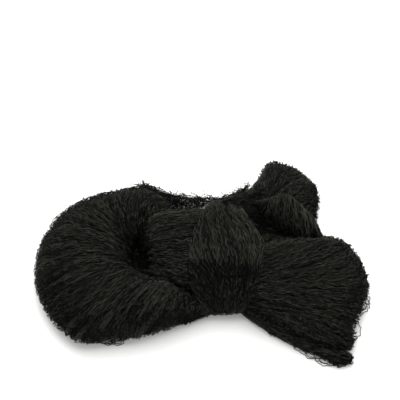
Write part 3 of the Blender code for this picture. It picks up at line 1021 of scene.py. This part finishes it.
buildMass(mass)
buildTwine("loop_under_twine", [("loop", underTwine), ("pit", underTwine), ("pit", topTwine)], 11)
buildTwine("loop_top_twine", [("loop", topTwine)], 12)
deepLayers = [(name, underTwine) for name in ("gully", "root", "throat")]
buildTwine("fan_twine", [("fan", underTwine), ("fan", topTwine)] + deepLayers, 13)
buildTwine("lashing_twine", [("lashing", dict(layer, **wound)) for layer in (underTwine, topTwine)], 14)
bandLayers = [("band", dict(layer, **band)) for layer in (underTwine, topTwine)]
buildTwine("band_twine", bandLayers + [("core", underTwine)], 15)
knobLayers = [(name, layer) for name in ("knob", "neck", "roll") for layer in (underTwine, topTwine)]
buildTwine("knob_twine", knobLayers, 16)
buildTwine("tail_twine", [("tail", underTwine), ("tail", dict(topTwine, length=60.0, steps=20))], 17)


# slack loops of twine that stand off the rims
fuzz = {
    "radius": 0.42,
    "pitch": 3.4,  # mm; with the length, the area for each loop
    "length": 7.0,
    "steps": 10,
    "height": (0.8, 4.6),
    "spread": (0.5, 3.5),
    "lean": 0.45,
    "sink": 1.0,
    "hideDepth": 4.0,
    "curl": (0.3, 1.3),
    "curlWaves": (1.5, 3.5),  # on a length
    "tone": 0.18,
    "toneSpread": 0.12,
}
paleFuzz = dict(fuzz, tone=0.32)
lipFuzz = dict(fuzz, height=(0.5, 3.0), tone=0.4)
fuzzParts = (  # form, its loops, and where they stand, across and run
    ("loop", paleFuzz, ((0.0, 0.66), (0.6, 0.95))),
    ("loop", lipFuzz, ((0.66, 1.0), (0.6, 0.95))),
    ("fan", fuzz, ((0.0, 1.0), (0.6, 0.95))),
    ("knob", fuzz, ((0.15, 1.0), (0.6, 0.95))),
    ("tail", fuzz, ((0.3, 1.0), (0.3, 1.0))),
    ("roll", fuzz, ((0.0, 1.0), (0.7, 1.0))),
    ("neck", fuzz, ((0.0, 0.3), (0.2, 1.0))),
    ("pit", fuzz, ((0.0, 0.5), (0.05, 0.6))),
    ("gully", fuzz, ((0.0, 0.5), (0.1, 0.9))),
    ("fan", lipFuzz, ((0.02, 0.16), (0.15, 0.85))),
    ("roll", lipFuzz, ((0.0, 1.0), (0.5, 0.9))),
)


def curlsOf(part, spec, each, swell=1.0):
    # a function that gives curl * swell * sin(2 pi curlWaves t + a random start), drawn anew each time
    def curl():
        amount = each(*spec["curl"]) * swell
        return amount * np.sin(part * each(*spec["curlWaves"]) * 2 * math.pi + each(0, 2 * math.pi))

    return curl


def looseTubes(lines, normals, spec, rng):
    # each length has one tone, tone + toneSpread * a random number, and lies on the floor or above it
    lines[..., 2] = np.maximum(lines[..., 2], spec["radius"])
    tone = spec["tone"] + spec["toneSpread"] * rng.standard_normal((len(lines), 1))
    tone = np.clip(tone + np.zeros(lines.shape[:2]), *toneEnds)
    return tubesOf(lines, np.broadcast_to(normals, lines.shape), spec["radius"], tone)


def fuzzTubes(form, spec, rng):
    # an arch out and back: height * sin(pi t)^0.7 - sink outwards, spread * (2 t - 1) sideways, and a curl
    across, run = evenSpots(form, spec, rng)
    place, sideways, normal = surfaceOf(form, across, run)
    kept = ~isHidden(place, spec["hideDepth"])
    place, sideways, normal = (values[kept][:, None] for values in (place, sideways, normal))
    third = np.cross(normal, sideways)
    part = np.linspace(0, 1, spec["steps"])[None, :, None]
    each = evenDraws(rng, (len(place), 1, 1))
    curl = curlsOf(part, spec, each, np.sin(part * math.pi))
    outward = normal + spec["lean"] * sideways * each(-1, 1) + spec["lean"] * third * each(-1, 1)
    turn = each(0, 2 * math.pi)
    flat = np.cos(turn) * sideways + np.sin(turn) * third
    lines = place + outward * (each(*spec["height"]) * np.sin(part * math.pi) ** 0.7 - spec["sink"])
    lines = lines + flat * each(*spec["spread"]) * (2 * part - 1)
    lines = lines + curl() * sideways + curl() * third + curl() * normal
    return looseTubes(lines, normal, spec, rng)


def buildFuzz(name, places, seed):
    rng = np.random.default_rng(seed)
    parts = []
    for formName, spec, region in places:
        parts.append(fuzzTubes(allForms[formName], dict(spec, region=region), rng))
    return meshObject(name, parts, twineMaterial)


buildFuzz("rim_loops", fuzzParts, 21)


# single lengths that have slipped out and lie loose on the floor
strays = {
    "seed": 41,
    "radius": 0.5,
    "steps": 34,
    "height": 1.5,
    "endLift": 4.0,
    "curl": (0.5, 1.3),
    "curlWaves": (2.5, 6.0),
    "tone": 0.1,
    "toneSpread": 0.1,
    "arches": (  # start x, start y, end x, end y, and how far it stands out to the right of its way, in mm
        (-146, -112, -104, -108, 5), (-140, -112, -96, -104, 7), (-132, -110, -96, -103, 10),
        (-128, -110, -90, -101, 6), (-122, -108, -100, -105, 12), (-134, -112, -112, -108, 8),
        (210, -46, 210, -76, -15), (211, -50, 207, -70, -13), (212, -42, 211, -64, -14),
        (206, -84, 200, -112, -9), (118, -104, 170, -134, 15), (130, -112, 182, -140, 13),
        (146, -122, 190, -142, 12), (150, -122, 180, -141, 15), (176, -134, 196, -138, 12),
        (172, -134, 192, -142, 10), (-222, -10, -214, -56, 5), (-204, 44, -180, 70, -10),
        (-190, 62, -164, 80, -9), (-222, 2, -208, 34, -5),
    ),
}
upright = np.array([0.0, 0.0, 1.0])


def strayTubes(spec):
    # start + (end - start) * t in plan, out by arch * sin(pi t)^0.6; height + endLift * |2 t - 1|^3; a curl
    rng = np.random.default_rng(spec["seed"])
    rows = np.array(spec["arches"], float)
    start, end, arch = rows[:, None, 0:2], rows[:, None, 2:4], rows[:, None, 4:5]
    part = np.linspace(0, 1, spec["steps"])[None, :, None]
    way = end - start
    right = np.stack([way[..., 1], -way[..., 0]], -1) / np.linalg.norm(way, axis=-1, keepdims=True)
    curl = curlsOf(part, spec, evenDraws(rng, (len(rows), 1, 1)))
    plan = start + way * part + right * arch * np.sin(part * math.pi) ** 0.6
    plan = plan + np.concatenate([curl(), curl()], -1)
    rise = spec["height"] + curl() + spec["endLift"] * np.abs(2 * part - 1) ** 3
    return looseTubes(np.concatenate([plan, rise], -1), upright, spec, rng)


meshObject("stray_loops", [strayTubes(strays)], twineMaterial)


# the open lace of loose netting along the back
lace = {
    "seed": 31,
    "radius": 0.46,
    "pitch": 0.27,
    "length": 22.0,
    "lengthShares": (0.5, 1.2),
    "steps": 10,
    "curl": (0.6, 2.0),
    "curlWaves": (1.0, 3.0),
    "bend": 0.8,
    "turn": 0.8,  # how far the lengths turn from the edge's own direction, in radians
    "tone": 0.12,
    "toneSpread": 0.14,
    "region": ((0.0, 1.0), (0.0, 0.95)),
    "clumps": 22.0,  # how many along the back
    "edgeThinning": 0.75,  # how much of it is gone at the outer edge
    "kept": (  # the share that is kept
        (0.0, 1.8), (0.25, 1.4), (0.4, 1.0), (0.6, 1.0), (0.63, 0.3), (0.66, 0.9), (1.0, 0.9),
    ),
}


def laceTubes(form, spec):
    # short lengths at all heights: reach * t along their own way, curl + reach * bend * t to its side
    rng = np.random.default_rng(spec["seed"])
    across, run = evenSpots(form, spec, rng)
    clumps = np.clip(0.9 + 0.9 * rippleIn(across * spec["clumps"], run * 2, 33), 0, 1.2)
    share = stepsIn(across, spec["kept"]) * (1 - spec["edgeThinning"] * run) * clumps
    kept = rng.random(len(run)) < share
    place, sideways, _ = surfaceOf(form, across[kept], run[kept])
    part = np.linspace(-0.5, 0.5, spec["steps"])[None, :]
    each = evenDraws(rng, (len(place), 1))
    curl = curlsOf(part, spec, each)
    place[:, 2] = place[:, 2] * rng.random(len(place)) ** 0.5
    turn = np.arctan2(sideways[:, 1], sideways[:, 0])[:, None] + spec["turn"] * each(-1, 1)
    reach = each(*spec["lengthShares"]) * spec["length"] * part
    bend = each(-spec["bend"], spec["bend"]) * part
    sideShift = curl() + reach * bend
    x = place[:, 0:1] + np.cos(turn) * reach - np.sin(turn) * sideShift
    y = place[:, 1:2] + np.sin(turn) * reach + np.cos(turn) * sideShift
    z = place[:, 2:3] + curl()
    return looseTubes(np.stack([x, y, z], -1), upright, spec, rng)


meshObject("back_lace", [laceTubes(fringeForm, lace)], twineMaterial)


# the stage: a pale floor, plain soft light from above and behind
stage = {
    "floorSize": 8.0,
    "floorColour": "#f4f4f2",
    "floorRoughness": 0.9,
    "worldStrength": 0.8,
    "keyPower": 90.0,
    "keySize": 2.4,
    "keyPlace": (0.0, 1.1, 2.1),
}


def addStage(spec):
    half = spec["floorSize"] / 2
    mesh = bpy.data.meshes.new("floor")
    corners = [(-half, -half, 0), (half, -half, 0), (half, half, 0), (-half, half, 0)]
    mesh.from_pydata(corners, [], [(0, 1, 2, 3)])
    material, tree = newMaterial("pale_card")
    finish = {"Base Color": linear(spec["floorColour"]), "Roughness": spec["floorRoughness"]}
    shader = addNode(tree, "BsdfPrincipled", finish)
    addNode(tree, "OutputMaterial", {"Surface": (shader, 0)})
    mesh.materials.append(material)
    newObject("floor", mesh)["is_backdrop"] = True
    world = bpy.data.worlds.new("studio")
    world.use_nodes = True
    background = world.node_tree.nodes["Background"]
    background.inputs["Color"].default_value = (1.0, 1.0, 1.0, 1.0)
    background.inputs["Strength"].default_value = spec["worldStrength"]
    scene.world = world
    data = bpy.data.lights.new("key", "AREA")
    data.energy = spec["keyPower"]
    data.size = spec["keySize"]
    addAimed("key", data, spec["keyPlace"], (0.0, 0.0, 0.0))
    scene.view_settings.view_transform = "Standard"


addStage(stage)
